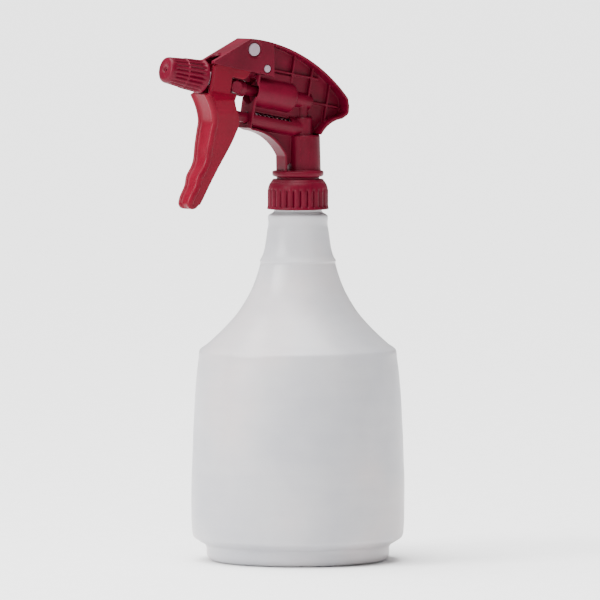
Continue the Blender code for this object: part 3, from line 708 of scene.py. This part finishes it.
def build_pins():
    end = SHROUD_HALF - 0.2
    neck = SHROUD_HALF - SHROUD_WALL + 0.15
    profile = [(0.0, -end), (2.9, -end), (3.25, -end + 0.12), (3.4, -end + 0.4), (3.4, -neck), (2.2, -neck)]
    profile += [(r, -z) for r, z in reversed(profile)]
    dress(turn('pivot_pin_head', profile, 72, across(*PIVOT)), 'trigger_pivot_pin', 'head')
    profile = [(0.0, -end), (1.6, -end), (1.9, -end + 0.12), (2.0, -end + 0.4)]
    profile += [(r, -z) for r, z in reversed(profile)]
    dress(turn('shroud_pin_head', profile, 56, across(*SMALL_PIN)), 'shroud_pin', 'head')


# ---------------------------------------------------------------- trigger

TRIGGER_FRONT = [(-62.8, 247.6), (-61.6, 245.4), (-60.2, 242.4), (-58.9, 238.5), (-58.3, 233.9),
                 (-59.2, 229.6), (-60.9, 221.2), (-61.9, 214.4), (-63.4, 210.4),
                 (-66.6, 205.4), (-68.0, 200.2), (-71.0, 194.8), (-72.2, 190.8), (-71.0, 187.9)]
TRIGGER_REAR = [(-44.8, 245.4), (-43.6, 240.5), (-42.2, 236.8), (-41.8, 232.0), (-43.6, 227.5),
                (-46.6, 221.5), (-54.2, 209.0), (-59.0, 200.5), (-63.7, 191.6), (-66.2, 188.2)]
WALL_TOP_Z = 245.2
TIP_Z = 188.3


def follow(line, z):
    """The x of a line of (x, z) points, ordered downward, at height z."""
    for (x1, z1), (x2, z2) in zip(line, line[1:]):
        if z2 <= z <= z1:
            return x1 + (x2 - x1) * (z1 - z) / (z1 - z2)
    return line[0][0] if z > line[0][1] else line[-1][0]


def trigger_half(z):
    """Half of the front plate's width, which tapers downward."""
    share = min(max((z - 188.0) / 50.0, 0.0), 1.0)
    return 5.4 + 3.2 * share ** 0.8


def trigger_face():
    """The finger plate, hollowed between two rolled edges, and the air in front of it."""
    line = spline(TRIGGER_FRONT, 8)
    across_section = [(2.5, 0.0), (1.3, 0.15), (0.5, 0.6), (0.08, 1.3), (0.0, 1.9), (0.3, 2.6)]
    across_section += [(0.95, 3.2), (1.3, 4.4)]
    back = [(3.1, 0.25), (3.1, 2.0)]
    moved = {depth: offset(line, depth) for depth in [-3.0] + [d for d, inset in across_section + back]}
    shell, air = [], []
    for i, (x, z) in enumerate(line):
        half = trigger_half(z)
        front = [(d, -half + inset) for d, inset in across_section]
        front += [(d, half - inset) for d, inset in reversed(across_section)]
        rear = [(d, half - inset) for d, inset in back] + [(d, -half + inset) for d, inset in reversed(back)]
        shell.append([(moved[d][i][0], y, moved[d][i][1]) for d, y in front + rear])
        ahead = [(moved[-3.0][i][0], half, moved[-3.0][i][1]), (moved[-3.0][i][0], -half, moved[-3.0][i][1])]
        air.append([(moved[d][i][0], y, moved[d][i][1]) for d, y in front] + ahead)
    return loft('trigger_shell', shell), loft('air', air)


def lower_wall(side):
    """One side wall of the handle, which follows the taper of the finger plate."""
    count = 48
    front_points = spline(TRIGGER_FRONT, 8)
    rear_points = spline(TRIGGER_REAR, 8)
    sections = []
    for i in range(count):
        z = WALL_TOP_Z - (WALL_TOP_Z - TIP_Z) * i / (count - 1)
        front = follow(front_points, z) + 0.8
        rear = max(follow(rear_points, z), front + 2.0)
        outer = side * (trigger_half(z) - 0.5)
        inner = side * (trigger_half(z) - 1.7)
        sections.append([(front, inner, z), (rear, inner, z), (rear, outer, z), (front, outer, z)])
    return loft('wall', sections)


def build_trigger():
    shape, air = trigger_face()
    top_t = PANEL_T - 0.1
    u, t = PIVOT
    eye = arc((u - 3.9, t - 0.5), (u, t + 3.9), (u + 3.9, t - 0.5), 24)
    cheek = [(-59.0, -8.0), (-59.0, 8.4), (-58.0, top_t), (-51.5, 10.6), (-42.6, 17.4)] + eye
    hook = [(-33.5, 15.5), (-35.2, 9.5), (-36.9, 6.0), (-38.8, 4.6),
            (-46.0, 4.6), (-46.0, -3.9), (-41.6, -3.9), (-42.4, -8.0)]
    cheek += rounded([eye[-1]] + hook, 0.8, 4)[1:]
    for side in (-1, 1):
        low, high = sorted((side * 4.2, side * 5.5))
        join(shape, plate('cheek', cheek, low, high, BARREL))
        join(shape, lower_wall(side))
        slope = [(4.2, -4.7), (5.5, -4.7), (6.6, -6.0), (7.9, -8.6), (7.9, -11.0), (4.2, -11.0)]
        shelf = [[(u_end, side * y, z) for y, z in slope] for u_end in (-58.6, -43.4)]
        join(shape, loft('shelf', shelf, BARREL))
        low, high = sorted((side * 5.0, side * 6.1))
        rim = [(-59.3, -8.0), (-59.3, 8.0), (-58.0, 9.0), (-57.6, 7.6), (-57.6, -8.0)]
        join(shape, plate('rim', rim, low, high, BARREL))
    head = [(-58.9, -12.0), (-59.4, -8.4), (-57.2, -7.6), (-56.8, -12.0)]
    join(shape, plate('head', head, -8.0, 8.0, BARREL))
    pad = [(-56.6, -13.2), (-56.0, -16.9), (-46.1, -16.9), (-46.1, -11.6)]
    join(shape, plate('pad', pad, -1.6, 1.6, BARREL))
    bar = [(-47.2, -17.0), (-45.5, -17.0), (-44.6, -14.6), (-44.6, -11.4), (-47.2, -11.4)]
    join(shape, plate('bar', bar, -7.0, 7.0, BARREL))
    tip = Matrix.Translation((-68.9, 0, 191.1)) @ Matrix.Rotation(-math.pi / 2, 4, 'X')
    join(shape, rod('tip', 3.1, -5.0, 5.0, tip))
    under = [(-80, 180), (-58, 180), (-58, 189.0), (-65.2, 190.2)]
    under += arc((-66.2, 189.2), (-68.9, 187.95), (-72.0, 190.6), 16)
    cut(shape, plate('under_tip', under + [(-80, 190.6)], -12, 12))
    cut(shape, air, rod('pivot_hole', 2.5, -9, 9, across(*PIVOT), 48))
    moulded(shape, 0.2, 6)
    return dress(shape, 'trigger', 'trigger', 60.0)


# ---------------------------------------------------------------- pump and nozzle

def build_piston():
    barrel = along_barrel()
    head = [(0.0, -45.2), (3.5, -45.2), (4.0, -44.9), (4.25, -44.2), (4.25, -35.6), (3.9, -35.2)]
    head += [(2.9, -34.8), (2.9, -26.8)]
    disc = [(6.4, -26.8), (6.7, -26.5), (6.7, -25.6), (5.7, -25.6), (5.7, -22.4), (6.7, -22.4), (6.7, -20.6)]
    end = [(5.2, -20.6), (5.2, -17.6), (5.8, -17.2), (5.8, -16.2), (0.0, -16.2)]
    shape = turn('piston_shell', head + disc + end, 80, barrel)
    bar = [(0.0, -5.6), (2.9, -5.6), (3.3, -5.2), (3.3, 5.2), (2.9, 5.6), (0.0, 5.6)]
    join(shape, turn('cross_bar', bar, 60, across(-42.2, 0.0)))
    return dress(shape, 'piston_rod', 'piston')


def build_springs():
    spring = coil('return_coil', 3.2, 0.38, SPRING_FRONT, SPRING_REAR, 8.5, along_barrel(SPRING_T))
    dress(spring, 'return_spring', 'head', 80.0)
    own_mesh(spring)


def flute_depth(r, z, angle):
    """Two tiers of grip flutes round the knob, rounded at both ends."""
    if r < 6.9:
        return r
    for low, high, depth in ((-82.5, -74.1, 0.75), (-73.7, -64.2, 1.0)):
        if low < z < high:
            run_in, run_out = (1.6, 0.25) if low < -80.0 else (0.25, 0.9)
            fade = min(1.0, (z - low) / run_in, (high - z) / run_out)
            wave = 0.5 + 0.5 * math.cos(KNOB_FLUTES * angle)
            return r - depth * fade * (1.0 - wave ** 0.6)
    return r


def build_knob():
    outside = [(1.5, -84.5), (1.9, -84.85), (5.0, -84.9), (5.9, -84.75), (6.5, -84.4)]
    outside += [(6.8, -83.8), (6.95, -83.1)]
    outside += [(6.95 + 0.085 * i, -83.1 + 0.87 * i) for i in range(1, 11)]
    outside += [(7.85, -74.2), (8.0, -73.9), (8.1, -73.5)]
    outside += [(8.12 + 0.055 * i, -73.4 + 0.96 * i) for i in range(1, 11)]
    outside += [(8.85, -63.5), (9.0, -63.2), (9.0, -62.4), (8.85, -62.1)]
    inside = [(7.2, -62.1), (6.6, -69.0), (4.5, -69.6), (4.5, -73.3), (5.6, -73.3), (5.6, -75.9)]
    inside += [(4.3, -75.9), (4.3, -80.4), (0.4, -80.4), (0.4, -83.9), (1.3, -84.1)]
    segments = KNOB_FLUTES * STEPS_PER_RIB
    verts = []
    for index, (r, z) in enumerate(outside + inside):
        for j in range(segments):
            angle = 2 * math.pi * j / segments
            radius = flute_depth(r, z, angle) if index < len(outside) else r
            verts.append((radius * math.cos(angle), radius * math.sin(angle), z))
    shape = make('knob_shell', verts, grid_faces(len(outside + inside), segments, True),
                 along_barrel(NOZZLE_T))
    return dress(shape, 'nozzle_knob', 'knob', 50.0)


# ---------------------------------------------------------------- stage

def stage_material():
    material = bpy.data.materials.new('studio_paper')
    tree, shader = nodes_of(material)
    coords = tree.nodes.new('ShaderNodeTexCoord').outputs['Object']
    fibre = noise(tree, coords, 80.0, 4.0)
    colour = ramp(tree, fibre, [(0.3, (0.90, 0.90, 0.90)), (0.7, (0.93, 0.93, 0.93))])
    tree.links.new(colour, shader.inputs['Base Color'])
    shader.inputs['Roughness'].default_value = 0.9
    tree.links.new(bump(tree, fibre, 0.05, 0.0002), shader.inputs['Normal'])
    return material


def build_floor():
    """A plain pale floor, wide enough to fill the view to its far edge."""
    rim = [(14.0 * math.cos(math.pi * i / 48), 14.0 * math.sin(math.pi * i / 48), -0.0002) for i in range(96)]
    mesh = bpy.data.meshes.new('studio_floor')
    mesh.from_pydata(rim, [], [tuple(range(96))])
    mesh.materials.append(stage_material())
    floor = bpy.data.objects.new('studio_floor', mesh)
    bpy.context.scene.collection.objects.link(floor)


def aim_light(name, light, place, target):
    lamp = bpy.data.objects.new(name, light)
    lamp.location = place
    lamp.rotation_euler = (Vector(target) - Vector(place)).to_track_quat('-Z', 'Y').to_euler()
    bpy.context.scene.collection.objects.link(lamp)


def area_light(name, place, size, power):
    light = bpy.data.lights.new(name, 'AREA')
    light.shape = 'DISK'
    light.size = size
    light.energy = power
    aim_light(name, light, place, (0.0, 0.0, 0.16))


def build_light():
    """A soft overhead light for the floor and the tops, and a soft key from the camera's left."""
    world = bpy.data.worlds.new('studio')
    world.use_nodes = True
    background = world.node_tree.nodes['Background']
    background.inputs['Color'].default_value = (1, 1, 1, 1)
    background.inputs['Strength'].default_value = 0.4
    bpy.context.scene.world = world
    overhead = bpy.data.lights.new('overhead', 'SUN')
    overhead.energy = 9.5
    overhead.angle = math.radians(60)
    aim_light('overhead', overhead, (-0.5, 0.25, 3.0), (0.0, 0.0, 0.0))
    area_light('key', (-1.8, 0.1, 1.0), 1.0, 56.0)
    area_light('front', (-0.9, -1.9, 0.8), 1.4, 5.0)


def build_camera():
    """A long lens at the front left, slightly above the bottle's middle."""
    azimuth = math.radians(-33.0)
    tilt = math.radians(3.3)
    distance = 4.5
    right = Vector((math.cos(azimuth), math.sin(azimuth), 0))
    ahead = Vector((-math.sin(azimuth), math.cos(azimuth), 0))
    aim = right * 0.0011 + Vector((0, 0, 0.138))
    eye = aim - ahead * distance * math.cos(tilt) + Vector((0, 0, distance * math.sin(tilt)))
    lens = bpy.data.cameras.new('camera')
    lens.lens = 113.2 * distance
    lens.sensor_width = 36.0
    lens.clip_end = 30.0
    camera = bpy.data.objects.new('camera', lens)
    camera.location = eye
    camera.rotation_euler = (aim - eye).to_track_quat('-Z', 'Y').to_euler()
    bpy.context.scene.collection.objects.link(camera)
    bpy.context.scene.camera = camera


def paint_frame():
    """Every node that still shows takes its slot's material."""
    slots = {part['node']: part['material_slot'] for part in frame['record']['subparts']}
    for name, node in frame['nodes'].items():
        node.data.materials.clear()
        node.data.materials.append(SLOT_MATERIALS[slots[name]])


paint_frame()
build_bottle()
build_closure_cap()
build_body_frame()
build_front_shroud()
build_pins()
build_trigger()
build_piston()
build_springs()
build_knob()
build_floor()
build_light()
build_camera()
